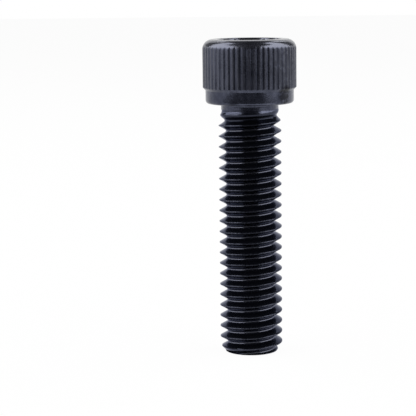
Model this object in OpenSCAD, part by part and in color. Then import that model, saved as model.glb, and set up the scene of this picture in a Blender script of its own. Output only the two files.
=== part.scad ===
// Hex socket head cap screw: one forged piece with a rolled, coarse right-hand thread.
// It stands on its tip, with z = 0 at the flat end of the thread and the head at the top.

/* [Thread] */
// Diameter over the crests of the thread
thread_d = 9.3; // [7.5:0.05:11.5]
// Distance between two crests
pitch = 1.5875; // [1.2:0.0125:2]
// Length under the head, from its bearing face to the tip
length = 37.3; // [20:0.1:60]
// Turn of the thread round the axis, counted from the X axis
thread_turn = 207; // [0:9:351]
// Height of the bevel at the tip
tip_bevel_h = 1; // [0.8:0.05:2]
// Diameter of the flat end of the tip
tip_d = 7.6; // [6:0.1:9.2]

/* [Neck] */
// Diameter of the plain neck, which is the blank that the thread was rolled on
neck_d = 8.5; // [7:0.05:10.2]
// Height of the plain neck between the fillet and the first trace of thread
neck_h = 0.4; // [0.1:0.05:2]
// Distance over which the rolled thread grows to its full depth
run_out = 2.4; // [1:0.1:6]
// Radius of the fillet between the neck and the head
neck_fillet = 0.4; // [0.2:0.05:0.6]

/* [Head] */
// Diameter of the head over its knurl
head_d = 13.85; // [12.5:0.05:17]
// Height of the head
head_h = 9.45; // [8:0.05:14]
// Radius of the rounded rim at the top
rim_r = 1.45; // [0.8:0.05:1.8]
// Diameter of the plain band under the knurl
band_d = 13.05; // [11:0.05:16.5]
// Height of the plain band
band_h = 1.95; // [1:0.05:3]
// Width and height of the bevel at the lower edge of the band
band_bevel = 0.5; // [0.1:0.05:0.8]

/* [Knurl] */
// Number of straight ribs round the head
rib_count = 54; // [40:1:80]
// Depth of the grooves between the ribs
groove_depth = 0.2; // [0.1:0.01:0.34]
// Height of the point that turning took off each rib
rib_trim = 0.1; // [0.05:0.01:0.25]
// Height of the bevel that ends the ribs above the band
rib_bevel_h = 0.6; // [0.3:0.05:1.5]
// Turn of the knurl round the axis, counted from the X axis
knurl_turn = 2.5; // [0:0.5:6.5]

/* [Socket] */
// Width of the hexagon across its flats
socket_af = 7.9375; // [6:0.0125:9.5]
// Depth of the flats of the hexagon
socket_depth = 4.9; // [3:0.1:6]
// Depth of the punch cone below the flats
cone_h = 0.9; // [0.3:0.1:1.5]
// How far the cone stays inside the flats
cone_margin = 0.3; // [0.1:0.05:0.6]
// How far the bevel at the mouth reaches past the corners of the hexagon
mouth_margin = 0.15; // [0.05:0.05:0.3]

/* [Hidden] */

$fn = 144;
steel = [0.17, 0.175, 0.2];

// Thread form with sixty-degree flanks
thread_r = thread_d / 2;
crest_flat = pitch / 8;
root_flat = pitch / 9;
thread_depth = (pitch - crest_flat - root_flat) / 2 / tan(30);
root_r = thread_r - thread_depth;
neck_r = neck_d / 2;
tip_r = tip_d / 2;

// Corners of one pitch of the form, as [share of the pitch, radius] from the middle of a root
FORM = [
    [root_flat / pitch / 2, root_r],
    [0.5 - crest_flat / pitch / 2, thread_r],
    [0.5 + crest_flat / pitch / 2, thread_r],
    [1 - root_flat / pitch / 2, root_r],
];

// The shank is a lattice of columns round the axis, 9 degrees apart, and rows that climb with the thread
columns = 40;
turns_below = 2;
turns_above = 1;
thread_top = length - neck_fillet - neck_h;
thread_rows = len(FORM) * (turns_below + ceil(thread_top / pitch) + turns_above);
least_step = pitch / 50;

// The fillet stops short of flat and runs on at that slope into the head
fillet_steps = 5;
fillet_sweep = 75;
seat_depth = 0.05;
FILLET = [
    for (i = [0:fillet_steps])
        let (a = fillet_sweep * i / fillet_steps)
            [neck_r + neck_fillet * (1 - cos(a)), length - neck_fillet * (1 - sin(a))]
];
fillet_end = FILLET[fillet_steps];
seat_rise = length + seat_depth - fillet_end[1];
RINGS = concat(FILLET, [[fillet_end[0] + seat_rise * tan(fillet_sweep), length + seat_depth]]);
rows = thread_rows + len(RINGS);

// Head
head_r = head_d / 2;
band_r = band_d / 2;
top_z = length + head_h;
rib_foot_z = length + band_h;
socket_r = socket_af / sqrt(3);
mouth_r = socket_r + mouth_margin;
cone_r = socket_af / 2 - cone_margin;
groove_r = head_r - groove_depth;
point_r = head_r + rib_trim;
cut = 1;

// Height of a corner of the thread form in one column
function corner_z(column, row) =
    pitch * (floor(row / len(FORM)) - turns_below + FORM[row % len(FORM)][0] + column / columns);

// Radius of the full thread form at a height in one column
function form_r(column, z) =
    let (turns = z / pitch - column / columns)
        lookup(turns - floor(turns), concat([[0, root_r]], FORM, [[1, root_r]]));

// Radius of the shank: the thread fades into the neck, and the bevel trims the tip
function shank_r(column, z) =
    let (
        grown = min(1, (thread_top - z) / run_out),
        trimmed = tip_r + (thread_r - tip_r) * z / tip_bevel_h
    )
        min(neck_r + (form_r(column, z) - neck_r) * grown, trimmed);

// The rows between which a column follows the thread; all other rows of it lie on its two ends
FOOT = [
    for (c = [0:columns - 1])
        max([for (row = [0:thread_rows - 1]) if (corner_z(c, row) < least_step) row])
];
HEAD = [
    for (c = [0:columns - 1])
        min([for (row = [0:thread_rows - 1]) if (corner_z(c, row) > thread_top - least_step) row])
];

// A point of the shank
function shank_point(column, row) =
    let (
        in_thread = row < thread_rows,
        z = !in_thread ? RINGS[row - thread_rows][1]
            : row <= FOOT[column] ? 0
            : row >= HEAD[column] ? thread_top
            : corner_z(column, row),
        r = in_thread ? shank_r(column, z) : RINGS[row - thread_rows][0],
        angle = 360 * column / columns
    )
        [r * cos(angle), r * sin(angle), z];

// Index of that point; after a full turn the thread has climbed by one pitch
function at(column, row) =
    let (c = column % columns, climbed = row + (column < columns ? 0 : len(FORM)))
        c * rows + (row < thread_rows ? min(max(climbed, FOOT[c]), HEAD[c]) : row);

module shank() {
    points = [for (c = [0:columns - 1], row = [0:rows - 1]) shank_point(c, row)];
    foot_centre = len(points);
    seat_centre = foot_centre + 1;
    side = [
        for (c = [0:columns - 1], row = [0:rows - 2])
            let (low = at(c, row), high = at(c, row + 1), next_high = at(c + 1, row + 1), next_low = at(c + 1, row))
                each [
                    if (low != high) [low, high, next_high],
                    if (next_high != next_low) [low, next_high, next_low],
                ]
    ];
    ends = [
        for (c = [0:columns - 1])
            each [
                [foot_centre, at(c, 0), at(c + 1, 0)],
                [seat_centre, at(c + 1, rows - 1), at(c, rows - 1)],
            ]
    ];
    color(steel)
        rotate([0, 0, thread_turn])
            polyhedron(
                concat(points, [[0, 0, 0], [0, 0, length + seat_depth]]),
                concat(side, ends)
            );
}

// Turned outline of the head: bearing face, band, bevelled foot of the knurl and rounded rim
module head_profile() {
    polygon([
        [0, length],
        [band_r - band_bevel, length],
        [band_r, length + band_bevel],
        [band_r, rib_foot_z],
        [head_r, rib_foot_z + rib_bevel_h],
        [head_r, top_z - rim_r],
        [0, top_z - rim_r],
    ]);
    translate([0, top_z - rim_r])
        square([head_r - rim_r, rim_r]);
    intersection() {
        translate([head_r - rim_r, top_z - rim_r])
            circle(rim_r);
        translate([0, top_z - rim_r])
            square([head_r, rim_r]);
    }
}

// Star that leaves pointed ribs, which the turned head cuts flat
module knurl() {
    translate([0, 0, length - cut])
        rotate([0, 0, knurl_turn])
            linear_extrude(head_h + 2 * cut)
                polygon([
                    for (rib = [0:rib_count - 1], half = [0, 0.5])
                        let (r = half == 0 ? point_r : groove_r, a = 360 * (rib + half) / rib_count)
                            [r * cos(a), r * sin(a)]
                ]);
}

module hex_socket() {
    flats_z = top_z - socket_depth;
    translate([0, 0, flats_z])
        cylinder(h = socket_depth + cut, r = socket_r, $fn = 6);
    translate([0, 0, flats_z - cone_h])
        cylinder(h = cone_h, r1 = 0, r2 = cone_r);
    translate([0, 0, top_z - mouth_r])
        cylinder(h = mouth_r + cut, r1 = 0, r2 = mouth_r + cut);
}

module head() {
    color(steel)
        difference() {
            intersection() {
                rotate_extrude()
                    head_profile();
                knurl();
            }
            hex_socket();
        }
}

module cap_screw() {
    union() {
        head();
        shank();
    }
}

cap_screw();
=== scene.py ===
# %% [markdown]
# # A black oxide cap screw
# A hex socket cap screw is one piece of steel. The head is forged, its sides and the thread are
# rolled, and a hot salt bath turns the surface blue-black. Here the screw stands on its tip on a
# white table. The lesson turns it in Blender the way a lathe would: an outline goes round the
# axis, and then the ribs, the hexagon and the thread's two ends are worked into the turned form.

# %% Load the solid model
import math

import bmesh
import bpy
from mathutils import Matrix, Vector


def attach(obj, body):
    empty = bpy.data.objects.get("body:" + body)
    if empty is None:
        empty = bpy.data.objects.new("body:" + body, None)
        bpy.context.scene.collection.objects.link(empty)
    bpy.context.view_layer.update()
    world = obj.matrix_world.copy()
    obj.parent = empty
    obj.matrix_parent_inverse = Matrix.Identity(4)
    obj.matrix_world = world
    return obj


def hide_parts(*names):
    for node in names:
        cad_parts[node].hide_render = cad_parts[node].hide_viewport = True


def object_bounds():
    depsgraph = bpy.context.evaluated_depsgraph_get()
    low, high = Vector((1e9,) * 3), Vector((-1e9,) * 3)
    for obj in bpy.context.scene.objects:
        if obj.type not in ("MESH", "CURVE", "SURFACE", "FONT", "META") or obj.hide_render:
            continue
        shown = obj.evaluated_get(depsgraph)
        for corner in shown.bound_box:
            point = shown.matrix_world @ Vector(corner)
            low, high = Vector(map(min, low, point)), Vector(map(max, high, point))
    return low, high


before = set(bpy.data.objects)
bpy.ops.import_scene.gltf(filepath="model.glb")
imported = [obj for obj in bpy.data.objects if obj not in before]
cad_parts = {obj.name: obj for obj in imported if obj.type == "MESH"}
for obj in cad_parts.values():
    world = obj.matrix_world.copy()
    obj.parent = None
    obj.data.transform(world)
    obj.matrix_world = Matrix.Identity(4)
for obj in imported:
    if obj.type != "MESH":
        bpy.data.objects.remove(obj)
cad_low, cad_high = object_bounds()
print("solid model, mm:", [round((high - low) * 1000, 3) for low, high in zip(cad_low, cad_high)])

# %% [markdown]
# ## Sizes
# The solid model gives the overall length and the width of the head. The rest are the sizes of
# the standard screw, in millimetres until they meet the mesh. One factor turns them into metres.

# %% Sizes of the screw
mm = 0.001
head_r = (cad_high.x - cad_low.x) / 2
top_z = cad_high.z
head_h = 9.45 * mm
seat_z = top_z - head_h

thread_r = 9.3 * mm / 2
pitch = 1.5875 * mm
print("under the head, mm:", round(seat_z / mm, 3), " turns of thread:", round(seat_z / pitch, 2))

# %% [markdown]
# ## The thread's form
# The flanks of an inch or metric thread meet at sixty degrees. Rolling leaves a rounded root and
# a narrow crest with soft corners. Those two roundings carry nearly all the light on a dark
# thread, so they are modelled. The line starts in the middle of one crest and ends in the next,
# and a vertex bevel rounds its corners.

# %% One pitch of the thread
crest_half = pitch / 24
half_angle = math.radians(30)
groove_point_r = thread_r - (pitch / 2 - crest_half) / math.tan(half_angle)
root_r = 3.6 * mm
root_round = root_r - groove_point_r
crest_round = 0.05 * mm
same_place = 0.001 * mm


def outline(points):
    """A bmesh with one line of edges through points (r, z) in the XZ plane, and its corners."""
    bm = bmesh.new()
    corners = [bm.verts.new((r, 0, z)) for r, z in points]
    for start, end in zip(corners, corners[1:]):
        bm.edges.new((start, end))
    return bm, corners


def round_corner(bm, corner, reach, segments):
    """Rounds one corner of a line. reach is how far the arc runs along each of its edges."""
    bmesh.ops.bevel(bm, geom=[corner], offset=reach, offset_type="OFFSET", segments=segments,
                    profile=0.5, affect="VERTICES", material=-1)


def divide(bm, start, end, cuts):
    """Divides the one edge of a line that runs between two points (r, z)."""
    ends = [Vector((r, 0, z)) for r, z in (start, end)]
    found = [e for e in bm.edges
             if all(min((v.co - p).length for v in e.verts) < same_place for p in ends)]
    bmesh.ops.subdivide_edges(bm, edges=found, cuts=cuts)


thread_bm, corners = outline([
    (thread_r, 0),
    (thread_r, crest_half),
    (groove_point_r, pitch / 2),
    (thread_r, pitch - crest_half),
    (thread_r, pitch),
])
low_crest, groove_point, high_crest = corners[1:4]
for crest in (low_crest, high_crest):
    round_corner(thread_bm, crest, crest_round * math.tan(half_angle), segments=3)
round_corner(thread_bm, groove_point, root_round / math.tan(half_angle), segments=6)
flanks = [e for e in thread_bm.edges if e.calc_length() > pitch / 5]
bmesh.ops.subdivide_edges(thread_bm, edges=flanks, cuts=3)
print("points in one pitch:", len(thread_bm.verts))
print("root at r mm:", round(min(v.co.x for v in thread_bm.verts) / mm, 3))

# %% [markdown]
# ## Winding the thread
# A spin with a step along the axis makes one turn of a helix. A second spin with no angle and a
# step of one pitch stacks copies of that turn, which is much quicker than one long spin. The
# stack starts below the tip and ends above the seat, and its turns are merged, since the end of
# one pitch is the start of the next. Two level cuts leave a clean length.

# %% Wind the thread and cut it to length
steps_per_turn = 96
thread_turn = math.radians(207)
spare_turns = 2
turns = math.ceil(seat_z / pitch) + 2 * spare_turns
tip_round = 0.15 * mm
merge_within = 0.004 * mm

bmesh.ops.translate(thread_bm, verts=thread_bm.verts, vec=(0, 0, -(spare_turns + 0.5) * pitch))
bmesh.ops.spin(
    thread_bm, geom=thread_bm.verts[:] + thread_bm.edges[:], cent=(0, 0, 0), axis=(0, 0, 1),
    angle=math.tau, steps=steps_per_turn, dvec=(0, 0, pitch / steps_per_turn))
bmesh.ops.spin(
    thread_bm, geom=thread_bm.verts[:] + thread_bm.edges[:] + thread_bm.faces[:],
    cent=(0, 0, 0), axis=(0, 0, 1), angle=0, steps=turns - 1, dvec=(0, 0, pitch),
    use_duplicate=True)
bmesh.ops.remove_doubles(thread_bm, verts=thread_bm.verts, dist=merge_within)
bmesh.ops.rotate(thread_bm, verts=thread_bm.verts, cent=(0, 0, 0),
                 matrix=Matrix.Rotation(thread_turn, 3, "Z"))


def cut_away(bm, z, side):
    """Cuts a mesh level at height z and removes what lies below (side -1) or above (side 1)."""
    bmesh.ops.bisect_plane(
        bm, geom=bm.verts[:] + bm.edges[:] + bm.faces[:], dist=same_place, plane_co=(0, 0, z),
        plane_no=(0, 0, 1), clear_inner=side < 0, clear_outer=side > 0)


cut_away(thread_bm, tip_round, -1)
cut_away(thread_bm, seat_z, 1)
print("thread faces:", len(thread_bm.faces))

# %% [markdown]
# ## Tip and neck
# The blank is bevelled before the thread is rolled, so the first crests fade into a cone. At the
# other end the rollers lift off, and the thread fades into a plain neck with a fillet under the
# head. Both ends are made by moving each point in or out from the axis, and a soft minimum
# blends the two surfaces where they cross.

# %% Shape the thread's two ends
tip_r = 3.8 * mm
tip_bevel_h = 1 * mm
neck_r = 8.5 * mm / 2
neck_h = 0.4 * mm
neck_fillet = 0.4 * mm
run_out = 2.4 * mm
tip_blend = 0.12 * mm
thread_top = seat_z - neck_fillet - neck_h


def soft_min(a, b, blend):
    """The smaller of two lengths, rounded where they are closer than blend."""
    h = max(blend - abs(a - b), 0) / blend
    return min(a, b) - h * h * blend / 4


def soft_max(a, b, blend):
    """The larger of two lengths, rounded where they are closer than blend."""
    return -soft_min(-a, -b, blend)


def set_radius(vert, r):
    """Moves a point in or out until it is r from the axis."""
    old = math.hypot(vert.co.x, vert.co.y)
    vert.co.x *= r / old
    vert.co.y *= r / old


for v in thread_bm.verts:
    z = v.co.z
    r = math.hypot(v.co.x, v.co.y)
    grown = min(1, max(0, (thread_top - z) / run_out))
    r = neck_r + (r - neck_r) * grown
    if z > seat_z - neck_fillet:
        rise = min(z - (seat_z - neck_fillet), neck_fillet)
        r = neck_r + neck_fillet - math.sqrt(neck_fillet ** 2 - rise ** 2)
    cone = tip_r + (thread_r - tip_r) * z / tip_bevel_h
    set_radius(v, soft_min(r, cone, tip_blend))

# %% [markdown]
# ## The tip's flat end
# The open edge at the bottom is carried down and inwards in three steps, which rounds it, and a
# single face closes it.

# %% Close the tip
def open_edges(bm, z):
    """The open edges of a mesh at one height."""
    return [e for e in bm.edges
            if e.is_boundary and all(abs(v.co.z - z) < 0.01 * mm for v in e.verts)]


edge = open_edges(thread_bm, tip_round)
edge_r = tip_r + (thread_r - tip_r) * tip_round / tip_bevel_h
for turned in (30, 60, 90):
    added = bmesh.ops.extrude_edge_only(thread_bm, edges=edge)["geom"]
    edge = [part for part in added if isinstance(part, bmesh.types.BMEdge)]
    a = math.radians(turned)
    for v in {v for e in edge for v in e.verts}:
        set_radius(v, edge_r - tip_round * (1 - math.cos(a)))
        v.co.z = tip_round * (1 - math.sin(a))
bmesh.ops.contextual_create(thread_bm, geom=edge)
print("open edges left at the tip:", len(open_edges(thread_bm, 0)))

# %% [markdown]
# ## The head's outline
# The head is turned from one outline: the seat, a bevelled edge, a plain band, the foot of the
# knurl, the sides, a generous rounded rim, the flat top, and then down through the mouth into
# the socket and its punched floor. Where the ribs and the hexagon will be worked in, the line
# gets more points.

# %% Draw the head's outline
band_r = 13.05 * mm / 2
band_h = 1.95 * mm
band_edge = 0.5 * mm
rib_foot_h = 0.45 * mm
rim_r = 1.45 * mm

socket_flats = 7.9375 * mm
socket_r = socket_flats / math.sqrt(3)
socket_depth = 4.9 * mm
socket_blend = 0.04 * mm
mouth_r = socket_r + 0.15 * mm
mouth_round = 0.08 * mm
cone_r = socket_flats / 2 - 0.3 * mm
cone_h = 0.9 * mm
wall_start = top_z - (mouth_r - socket_r)
wall_end = top_z - (mouth_r - socket_flats / 2) - 2 * socket_blend
seat_inner_r = neck_r + neck_fillet + 0.1 * mm

head_bm, corners = outline([
    (seat_inner_r, seat_z),
    (band_r, seat_z),
    (band_r, seat_z + band_h),
    (head_r, seat_z + band_h + rib_foot_h),
    (head_r, top_z),
    (mouth_r, top_z),
    (socket_r, wall_start),
    (socket_r, wall_end),
    (socket_r, top_z - socket_depth),
    (cone_r, top_z - socket_depth),
    (0, top_z - socket_depth - cone_h),
])
band_foot, rim, mouth = corners[1], corners[4], corners[5]
round_corner(head_bm, rim, rim_r, segments=20)
round_corner(head_bm, band_foot, band_edge, segments=4)
round_corner(head_bm, mouth, mouth_round, segments=3)
divide(head_bm, (band_r, seat_z + band_h), (head_r, seat_z + band_h + rib_foot_h), cuts=9)
divide(head_bm, (socket_r, wall_start), (socket_r, wall_end), cuts=11)
print("points in the head's outline:", len(head_bm.verts))

# %% [markdown]
# ## Turning the head
# The outline is spun in fine steps through the width of one rib, and a second spin fills the
# circle with copies of that wedge, so that every rib gets the same points.

# %% Turn the head
rib_count = 54
steps_per_rib = 12
bmesh.ops.spin(
    head_bm, geom=head_bm.verts[:] + head_bm.edges[:], cent=(0, 0, 0), axis=(0, 0, 1),
    angle=math.tau / rib_count, steps=steps_per_rib)
bmesh.ops.spin(
    head_bm, geom=head_bm.verts[:] + head_bm.edges[:] + head_bm.faces[:], cent=(0, 0, 0),
    axis=(0, 0, 1), angle=math.tau * (1 - 1 / rib_count), steps=rib_count - 1, use_duplicate=True)
bmesh.ops.remove_doubles(head_bm, verts=head_bm.verts, dist=merge_within)
print("head faces:", len(head_bm.faces))

# %% [markdown]
# ## Ribs and hexagon
# Rolling pressed straight ribs into the side of the head. Each point of the turned side moves in
# to the groove at its angle, if the groove is deeper than the side is there, so the grooves run
# out by themselves on the rim and on the foot. The hexagon is worked in the same way from the
# inside: the wall is wherever the hexagon or the bevel of the mouth reaches further out.

# %% Work in the ribs and the hexagon
groove_depth = 0.1 * mm
rib_point = 0.05 * mm
rib_blend = 0.06 * mm
rib_turn = math.radians(2.5)
floor_z = top_z - socket_depth - cone_h


def groove_radius(angle):
    """Radius of the ribbed side at an angle: a point outside each rib, a groove between two."""
    share = (angle - rib_turn) / math.tau * rib_count
    from_rib = abs(share - round(share)) * 2
    return head_r + rib_point - (rib_point + groove_depth) * from_rib


def hexagon_radius(angle):
    """Radius of the hexagon at an angle, with a corner on the X axis."""
    from_flat = angle % math.radians(60) - math.radians(30)
    return socket_flats / 2 / math.cos(from_flat)


for v in head_bm.verts:
    r = math.hypot(v.co.x, v.co.y)
    angle = math.atan2(v.co.y, v.co.x)
    if r > band_r:
        set_radius(v, soft_min(r, groove_radius(angle), rib_blend))
    elif cone_r + same_place < r < socket_r + same_place and v.co.z > floor_z:
        bevel = mouth_r - (top_z - v.co.z)
        set_radius(v, soft_max(hexagon_radius(angle), bevel, socket_blend))

# %% [markdown]
# ## One piece
# The two meshes are joined in one, and a narrow flat ring closes the seat between the head's
# inner edge and the neck's fillet. The two edges have different numbers of points, and a bridge
# can twist between such edges, so the ring is filled with triangles. All faces are turned
# outwards, and a volume above zero confirms it. Then comes the shading: edges sharper than
# thirty degrees stay crisp, and the rest are smooth.

# %% Join head and shank
shank_mesh = bpy.data.meshes.new("shank")
thread_bm.to_mesh(shank_mesh)
thread_bm.free()
head_bm.from_mesh(shank_mesh)
bpy.data.meshes.remove(shank_mesh)

crisp_angle = math.radians(30)
bmesh.ops.triangle_fill(head_bm, edges=open_edges(head_bm, seat_z), use_beauty=True,
                        normal=(0, 0, -1))
bmesh.ops.recalc_face_normals(head_bm, faces=head_bm.faces)
for face in head_bm.faces:
    face.smooth = True
for e in head_bm.edges:
    e.smooth = not (e.is_manifold and e.calc_face_angle() > crisp_angle)
print("open edges:", sum(not e.is_manifold for e in head_bm.edges))

screw_mesh = bpy.data.meshes.new("black_oxide_screw")
screw = bpy.data.objects.new("black_oxide_screw", screw_mesh)
bpy.context.scene.collection.objects.link(screw)
triangles = sum(len(face.verts) - 2 for face in head_bm.faces)
volume = head_bm.calc_volume(signed=True)
print("triangles:", triangles, " volume, mm3:", round(volume / mm ** 3, 1))

# %% [markdown]
# ## Black oxide
# The salt bath grows a thin skin of magnetite, blue-black and a little uneven in tone and gloss.
# One node group makes that skin from the place on the screw: clouds a few millimetres wide,
# streaks drawn out along the axis, and a fine crystalline grain. Four shares say how much of each
# finish a place has. Oiled skin is darker and smoother. Skin worn where handling reached it is
# paler and rougher, and that pale share also paints highlights on the tops of the ribs and the
# crests of the thread. A plain pale share is the burnish that rollers and dies pressed smooth,
# together with a painted highlight on the upper rim and top of the head and in the roots of the
# thread. Soiled skin is black and dull. The group gives out a colour, a roughness and a height.

# %% Build the skin of magnetite
def add_node(tree, kind, values=None, **settings):
    """Adds a node to a tree, sets its options and the values of its sockets."""
    node = tree.nodes.new(kind)
    for name, setting in settings.items():
        setattr(node, name, setting)
    for socket, value in (values or {}).items():
        node.inputs[socket].default_value = value
    return node


def maths(tree, operation, a, b=0.5):
    """A maths node on two values, each a number or another node's socket."""
    node = tree.nodes.new("ShaderNodeMath")
    node.operation = operation
    for socket, value in zip(node.inputs, (a, b)):
        if isinstance(value, bpy.types.NodeSocket):
            tree.links.new(value, socket)
        else:
            socket.default_value = value
    return node.outputs[0]


def ramp(tree, value, low, high, to_low=0, to_high=1):
    """Maps a value from one range to another, with soft ends."""
    node = add_node(tree, "ShaderNodeMapRange", interpolation_type="SMOOTHSTEP", values={
        "From Min": low, "From Max": high, "To Min": to_low, "To Max": to_high})
    tree.links.new(value, node.inputs["Value"])
    return node.outputs["Result"]


def blend(tree, share, a, b):
    """Mixes two colours, each four numbers or another node's socket."""
    node = add_node(tree, "ShaderNodeMix", data_type="RGBA")
    tree.links.new(share, node.inputs["Factor"])
    for socket, value in ((node.inputs[6], a), (node.inputs[7], b)):
        if isinstance(value, bpy.types.NodeSocket):
            tree.links.new(value, socket)
        else:
            socket.default_value = value
    return node.outputs[2]


def noise(tree, place, size, detail=2, roughness=0.5):
    """Noise with features of about one size, in metres."""
    node = add_node(tree, "ShaderNodeTexNoise",
                    values={"Scale": 1 / size, "Detail": detail, "Roughness": roughness})
    tree.links.new(place, node.inputs["Vector"])
    return node.outputs["Fac"]


cloud_size, streak_size, grain_size = 2.6 * mm, 0.7 * mm, 0.16 * mm
streak_stretch = 0.3
blue_black, slate = (0.036, 0.04, 0.061, 1), (0.084, 0.091, 0.127, 1)
crystal_grey = (0.11, 0.116, 0.15, 1)
oiled_black = (0.018, 0.02, 0.029, 1)
# pale grey of worn rib tops and thread crests, partly a painted highlight
rubbed_highlight_grey = (0.085, 0.09, 0.118, 1)
# pale grey of burnish on the head's upper rim and top and in the roots, partly a painted
# highlight
burnished_highlight_grey = (0.08, 0.084, 0.106, 1)
dirt_black = (0.01, 0.011, 0.017, 1)

skin = bpy.data.node_groups.new("magnetite_skin", "ShaderNodeTree")
skin.interface.new_socket(name="Place", in_out="INPUT", socket_type="NodeSocketVector")
for name in ("Rubbed_highlight", "Oiled", "Burnished_highlight", "Soiled"):
    skin.interface.new_socket(name=name, in_out="INPUT", socket_type="NodeSocketFloat")
for name, kind in (("Color", "Color"), ("Roughness", "Float"), ("Height", "Float")):
    skin.interface.new_socket(name=name, in_out="OUTPUT", socket_type="NodeSocket" + kind)
given = skin.nodes.new("NodeGroupInput").outputs
result = skin.nodes.new("NodeGroupOutput").inputs

drawn_out = add_node(skin, "ShaderNodeMapping", values={"Scale": (1, 1, streak_stretch)})
skin.links.new(given["Place"], drawn_out.inputs["Vector"])
clouds = noise(skin, given["Place"], cloud_size, detail=3, roughness=0.6)
streaks = noise(skin, drawn_out.outputs["Vector"], streak_size, detail=3, roughness=0.6)
grain = noise(skin, given["Place"], grain_size)

tone = maths(skin, "ADD", ramp(skin, clouds, 0.32, 0.68, 0, 0.55),
             ramp(skin, streaks, 0.35, 0.65, 0, 0.45))
worn = maths(skin, "SUBTRACT", ramp(skin, grain, 0.35, 0.6, 0.5, 1),
             maths(skin, "MULTIPLY", given["Oiled"], 0.5))
# the pale worn share, broken up by the grain, also paints highlights on the crests
rubbed_highlight_share = maths(skin, "MULTIPLY", given["Rubbed_highlight"], worn)
crystals = ramp(skin, grain, 0.6, 0.8, 0, 0.4)
colour = blend(skin, tone, blue_black, slate)
for share, laid_over in (
        (given["Oiled"], oiled_black),
        (crystals, crystal_grey),
        # pale worn tone that is partly a painted highlight
        (rubbed_highlight_share, rubbed_highlight_grey),
        # burnish with a painted highlight
        (given["Burnished_highlight"], burnished_highlight_grey),
        (given["Soiled"], dirt_black)):
    colour = blend(skin, share, colour, laid_over)
skin.links.new(colour, result["Color"])

uneven = maths(skin, "ADD", ramp(skin, clouds, 0.3, 0.7, 0.12, 0.22),
               ramp(skin, grain, 0.3, 0.7, 0, 0.1))
smoother = maths(skin, "MULTIPLY", given["Oiled"], 0.05)
rougher = maths(skin, "MULTIPLY", maths(skin, "ADD", rubbed_highlight_share, given["Soiled"]), 0.22)
gloss = maths(skin, "ADD", maths(skin, "SUBTRACT", uneven, smoother), rougher)
skin.links.new(gloss, result["Roughness"])
bare = maths(skin, "SUBTRACT", 1, maths(skin, "MULTIPLY", given["Oiled"], 0.7))
skin.links.new(maths(skin, "MULTIPLY", grain, bare), result["Height"])
print("nodes in the skin:", len(skin.nodes))

# %% [markdown]
# ## Two materials
# The head and the thread share the skin and differ in wear and in painted highlights. The tops of
# the ribs and the crests of the thread get the pale worn share, partly a painted highlight, so
# that share follows the distance from the axis. The rim of the head and the roots of the thread
# get the plain pale share: burnish, with a painted highlight laid in it. The thread is oiled, and
# so is the head's flat top, and dirt sits in the knurl and in a few smudges on the head. Oil also
# fills the grain. The thread gets a darker, bluer tint at grazing angles, so that its flanks
# don't turn pale.

# %% Mix the finish
metal_share = 0.91
grain_height = 0.012 * mm
knurl_foot = seat_z + 2 * mm
rim_foot, rim_top = top_z - 1.3 * mm, top_z - 0.9 * mm
knurl_dirt = 0.33
speck_size = 0.9 * mm


def black_oxide(name, wear_and_highlights, edge_tint=(1, 1, 1, 1), smudges=()):
    """Blackened steel.

    wear_and_highlights gives each share of the skin, a worn tone or a painted highlight, the
    radii or heights between which it grows from 0 to 1.
    edge_tint is the colour of what the steel mirrors at a grazing angle.
    Each smudge is a place, the distance at which it ends and its strength.
    """
    made = bpy.data.materials.new(name)
    made.use_nodes = True
    tree = made.node_tree
    shader = tree.nodes["Principled BSDF"]
    shader.inputs["Metallic"].default_value = metal_share
    shader.inputs["Specular Tint"].default_value = edge_tint
    place = tree.nodes.new("ShaderNodeTexCoord").outputs["Object"]
    axes = tree.nodes.new("ShaderNodeSeparateXYZ")
    tree.links.new(place, axes.inputs[0])
    height = axes.outputs[2]
    squares = [maths(tree, "MULTIPLY", axes.outputs[i], axes.outputs[i]) for i in (0, 1)]
    radius = maths(tree, "SQRT", maths(tree, "ADD", squares[0], squares[1]))

    made_skin = add_node(tree, "ShaderNodeGroup", node_tree=skin)
    tree.links.new(place, made_skin.inputs["Place"])
    for share, (along, start, end) in wear_and_highlights.items():
        measure = {"radius": radius, "height": height}[along]
        tree.links.new(ramp(tree, measure, start, end), made_skin.inputs[share])

    soiled = maths(tree, "MULTIPLY", ramp(tree, height, knurl_foot, knurl_foot + 0.6 * mm),
                   ramp(tree, height, rim_top, rim_foot, 0, knurl_dirt))
    ragged = ramp(tree, noise(tree, place, speck_size, detail=3, roughness=0.65), 0.36, 0.5)
    for centre, reach, strength in smudges:
        apart = add_node(tree, "ShaderNodeVectorMath", operation="DISTANCE")
        apart.inputs[1].default_value = centre
        tree.links.new(place, apart.inputs[0])
        smudge = ramp(tree, apart.outputs["Value"], reach, reach / 2, 0, strength)
        soiled = maths(tree, "ADD", soiled, maths(tree, "MULTIPLY", smudge, ragged))
    tree.links.new(soiled, made_skin.inputs["Soiled"])

    bump = add_node(tree, "ShaderNodeBump", values={"Strength": 1, "Distance": grain_height})
    tree.links.new(made_skin.outputs["Height"], bump.inputs["Height"])
    tree.links.new(made_skin.outputs["Color"], shader.inputs["Base Color"])
    tree.links.new(made_skin.outputs["Roughness"], shader.inputs["Roughness"])
    tree.links.new(bump.outputs["Normal"], shader.inputs["Normal"])
    return made


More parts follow.
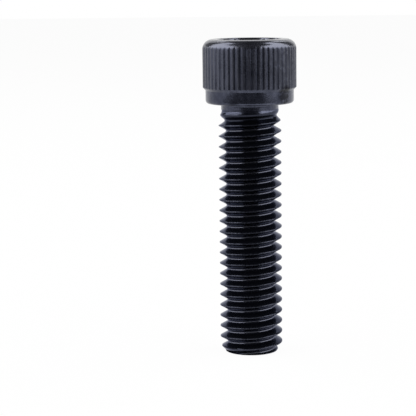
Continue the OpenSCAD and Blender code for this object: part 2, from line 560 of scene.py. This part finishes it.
head_wear_and_highlights = {
    # pale worn tone on the rib tops, partly a painted highlight
    "Rubbed_highlight": ("radius", head_r - 0.06 * mm, head_r),
    "Oiled": ("height", rim_top, top_z - 0.3 * mm),
    # burnish with a painted highlight on the upper rim and top of the head
    "Burnished_highlight": ("height", rim_foot, rim_top),
}
thread_wear_and_highlights = {
    # pale worn tone on the thread's crests, partly a painted highlight
    "Rubbed_highlight": ("radius", thread_r - 0.12 * mm, thread_r),
    "Oiled": ("height", seat_z - 0.6 * mm, seat_z - 2 * mm),
    # burnish with a painted highlight in the thread's roots
    "Burnished_highlight": ("radius", root_r + 0.14 * mm, root_r + 0.04 * mm),
}
grazing_blue = (0.64, 0.66, 0.76, 1)
head_smudges = [
    ((5.1 * mm, -4.1 * mm, seat_z + 1.4 * mm), 1.7 * mm, 1),
    ((-2.5 * mm, -6 * mm, seat_z + 1 * mm), 1.3 * mm, 0.6),
    ((5.1 * mm, -4.7 * mm, seat_z + 5.4 * mm), 4 * mm, 0.3),
]
screw_mesh.materials.append(black_oxide("blacked_head", head_wear_and_highlights, smudges=head_smudges))
screw_mesh.materials.append(black_oxide("blacked_thread", thread_wear_and_highlights, grazing_blue))
for face in head_bm.faces:
    face.material_index = 1 if face.calc_center_median().z < thread_top else 0
head_bm.to_mesh(screw_mesh)
head_bm.free()
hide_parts("cap_screw")
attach(screw, "root")
print("finishes:", [made.name for made in screw_mesh.materials])

# %% [markdown]
# ## Table and light
# The ground is pure white, with hardly any shadow. The table is ordinary white paint to the rays
# that light the screw, and mostly plain white to the rays that show it, so the shadow stays but
# is faint.

# %% Lay the white table
def seen_rays(nodes, links):
    """A value that is 1 for camera, glossy and transmission rays, and 0 for the others."""
    path = nodes.new("ShaderNodeLightPath")
    direct = nodes.new("ShaderNodeMath")
    direct.operation = "ADD"
    links.new(path.outputs["Is Camera Ray"], direct.inputs[0])
    links.new(path.outputs["Is Glossy Ray"], direct.inputs[1])
    seen = nodes.new("ShaderNodeMath")
    seen.operation = "ADD"
    seen.use_clamp = True
    links.new(direct.outputs[0], seen.inputs[0])
    links.new(path.outputs["Is Transmission Ray"], seen.inputs[1])
    return seen.outputs[0]


table_size = 4
white_share = 0.96
bpy.ops.mesh.primitive_plane_add(size=table_size)
table = bpy.context.object
table.name = "white_table"
table_paint = bpy.data.materials.new("white_table")
table_paint.use_nodes = True
nodes, links = table_paint.node_tree.nodes, table_paint.node_tree.links
paint = nodes["Principled BSDF"]
paint.inputs["Base Color"].default_value = (0.6, 0.6, 0.6, 1)
paint.inputs["Roughness"].default_value = 0.7
plain_white = nodes.new("ShaderNodeEmission")
share = nodes.new("ShaderNodeMath")
share.operation = "MULTIPLY"
share.inputs[1].default_value = white_share
links.new(seen_rays(nodes, links), share.inputs[0])
mixed = nodes.new("ShaderNodeMixShader")
links.new(share.outputs[0], mixed.inputs[0])
links.new(paint.outputs[0], mixed.inputs[1])
links.new(plain_white.outputs[0], mixed.inputs[2])
links.new(mixed.outputs[0], nodes["Material Output"].inputs["Surface"])
table.data.materials.append(table_paint)
print("table, m:", round(table.dimensions.x, 3), "wide")

# %% [markdown]
# ## Dark cards
# Glossy black steel shows what stands round it. Cards of black paper stand in front of the
# screw, lie before it, hang over it and stand behind it on both sides. They make the dark middle
# of the head and the dark line along its rim. They are seen in reflections only, and they cast
# no shadow.

# %% Hang the dark cards
def add_card(bm, width, depth, centre, tilt=0):
    """Adds a flat sheet to a mesh: level, or turned up about the X axis by tilt degrees."""
    place = Matrix.Translation(centre) @ Matrix.Rotation(math.radians(tilt), 4, "X")
    made = bmesh.ops.create_grid(bm, x_segments=1, y_segments=1, size=0.5, matrix=Matrix())
    bmesh.ops.scale(bm, verts=made["verts"], vec=(width, depth, 1))
    bmesh.ops.transform(bm, verts=made["verts"], matrix=place)


table_gap = 1 * mm
front_w, roof_w = 400 * mm, 190 * mm
front_y, back_y = -260 * mm, 230 * mm
strip_near = 45 * mm
roof_z = 320 * mm
side_w, side_x, side_y = 240 * mm, 245 * mm, 200 * mm
side_foot, side_top = 92 * mm, 700 * mm

card_bm = bmesh.new()
add_card(card_bm, front_w, -front_y - strip_near, (0, (front_y - strip_near) / 2, table_gap))
add_card(card_bm, front_w, roof_z, (0, front_y, roof_z / 2), tilt=90)
add_card(card_bm, front_w, -front_y, (0, front_y / 2, roof_z))
add_card(card_bm, roof_w, back_y, (0, back_y / 2, roof_z))
for side in (-1, 1):
    centre = (side * side_x, side_y, (side_foot + side_top) / 2)
    add_card(card_bm, side_w, side_top - side_foot, centre, tilt=90)
card_mesh = bpy.data.meshes.new("dark_cards")
card_bm.to_mesh(card_mesh)
card_bm.free()
cards = bpy.data.objects.new("dark_cards", card_mesh)
bpy.context.scene.collection.objects.link(cards)
card_paper = bpy.data.materials.new("black_paper")
card_paper.use_nodes = True
black = card_paper.node_tree.nodes["Principled BSDF"]
black.inputs["Base Color"].default_value = (0.03, 0.03, 0.034, 1)
black.inputs["Roughness"].default_value = 0.8
card_mesh.materials.append(card_paper)
cards.visible_camera = False
cards.visible_diffuse = False
cards.visible_shadow = False
cards.visible_transmission = False
print("dark cards:", len(card_mesh.polygons))

# %% [markdown]
# ## Soft boxes
# Two wide soft boxes hang left and right of the screw and a little above it. Their reflections
# are the pale patches on the rim and the neck, and the fine lines along the crests and roots.

# %% Hang two soft boxes
box_w, box_h = 1000 * mm, 560 * mm
box_distance = 500 * mm
box_azimuth = math.radians(91)
box_elevation = math.radians(41)
box_watts = 5
for side in (-1, 1):
    lamp = bpy.data.lights.new("soft_box", "AREA")
    lamp.shape = "RECTANGLE"
    lamp.size, lamp.size_y = box_w, box_h
    lamp.energy = box_watts
    soft_box = bpy.data.objects.new("soft_box", lamp)
    bpy.context.scene.collection.objects.link(soft_box)
    towards = Vector((
        side * math.sin(box_azimuth) * math.cos(box_elevation),
        -math.cos(box_azimuth) * math.cos(box_elevation),
        math.sin(box_elevation)))
    soft_box.location = towards * box_distance
    soft_box.rotation_euler = towards.to_track_quat("Z", "Y").to_euler()
    soft_box.visible_camera = False
    print("soft box at, m:", [round(v, 3) for v in soft_box.location])

# %% [markdown]
# ## The room
# The room is white wherever the camera or a reflection sees it, and dim as a source of light.

# %% Light the room
room_light = 0.12
world = bpy.data.worlds.new("white_room")
world.use_nodes = True
nodes, links = world.node_tree.nodes, world.node_tree.links
room = nodes["Background"]
room.inputs["Color"].default_value = (1, 1, 1, 1)
level = nodes.new("ShaderNodeMapRange")
level.inputs["To Min"].default_value = room_light
level.inputs["To Max"].default_value = 1
links.new(seen_rays(nodes, links), level.inputs["Value"])
links.new(level.outputs["Result"], room.inputs["Strength"])
bpy.context.scene.world = world
print("room as a source of light:", room_light)

# %% [markdown]
# ## Camera
# A long lens looks slightly down at the screw from about five screw lengths away.

# %% Set the camera
image_px = 416
focal_px = 1622
camera_height = 56 * mm
camera_distance = 239.7 * mm
look_down = math.radians(8.15)
look_left = math.radians(1.517)
roll = math.radians(-0.64)

camera_data = bpy.data.cameras.new("camera")
camera_data.lens = focal_px / image_px * camera_data.sensor_width
camera = bpy.data.objects.new("camera", camera_data)
bpy.context.scene.collection.objects.link(camera)
camera.location = (0, -camera_distance, camera_height)
camera.matrix_world = (
    Matrix.Translation(camera.location)
    @ Matrix.Rotation(look_left, 4, "Z")
    @ Matrix.Rotation(math.radians(90) - look_down, 4, "X")
    @ Matrix.Rotation(roll, 4, "Z"))
bpy.context.scene.camera = camera
bpy.context.scene.view_settings.view_transform = "Standard"
print("lens, mm:", round(camera_data.lens, 1))
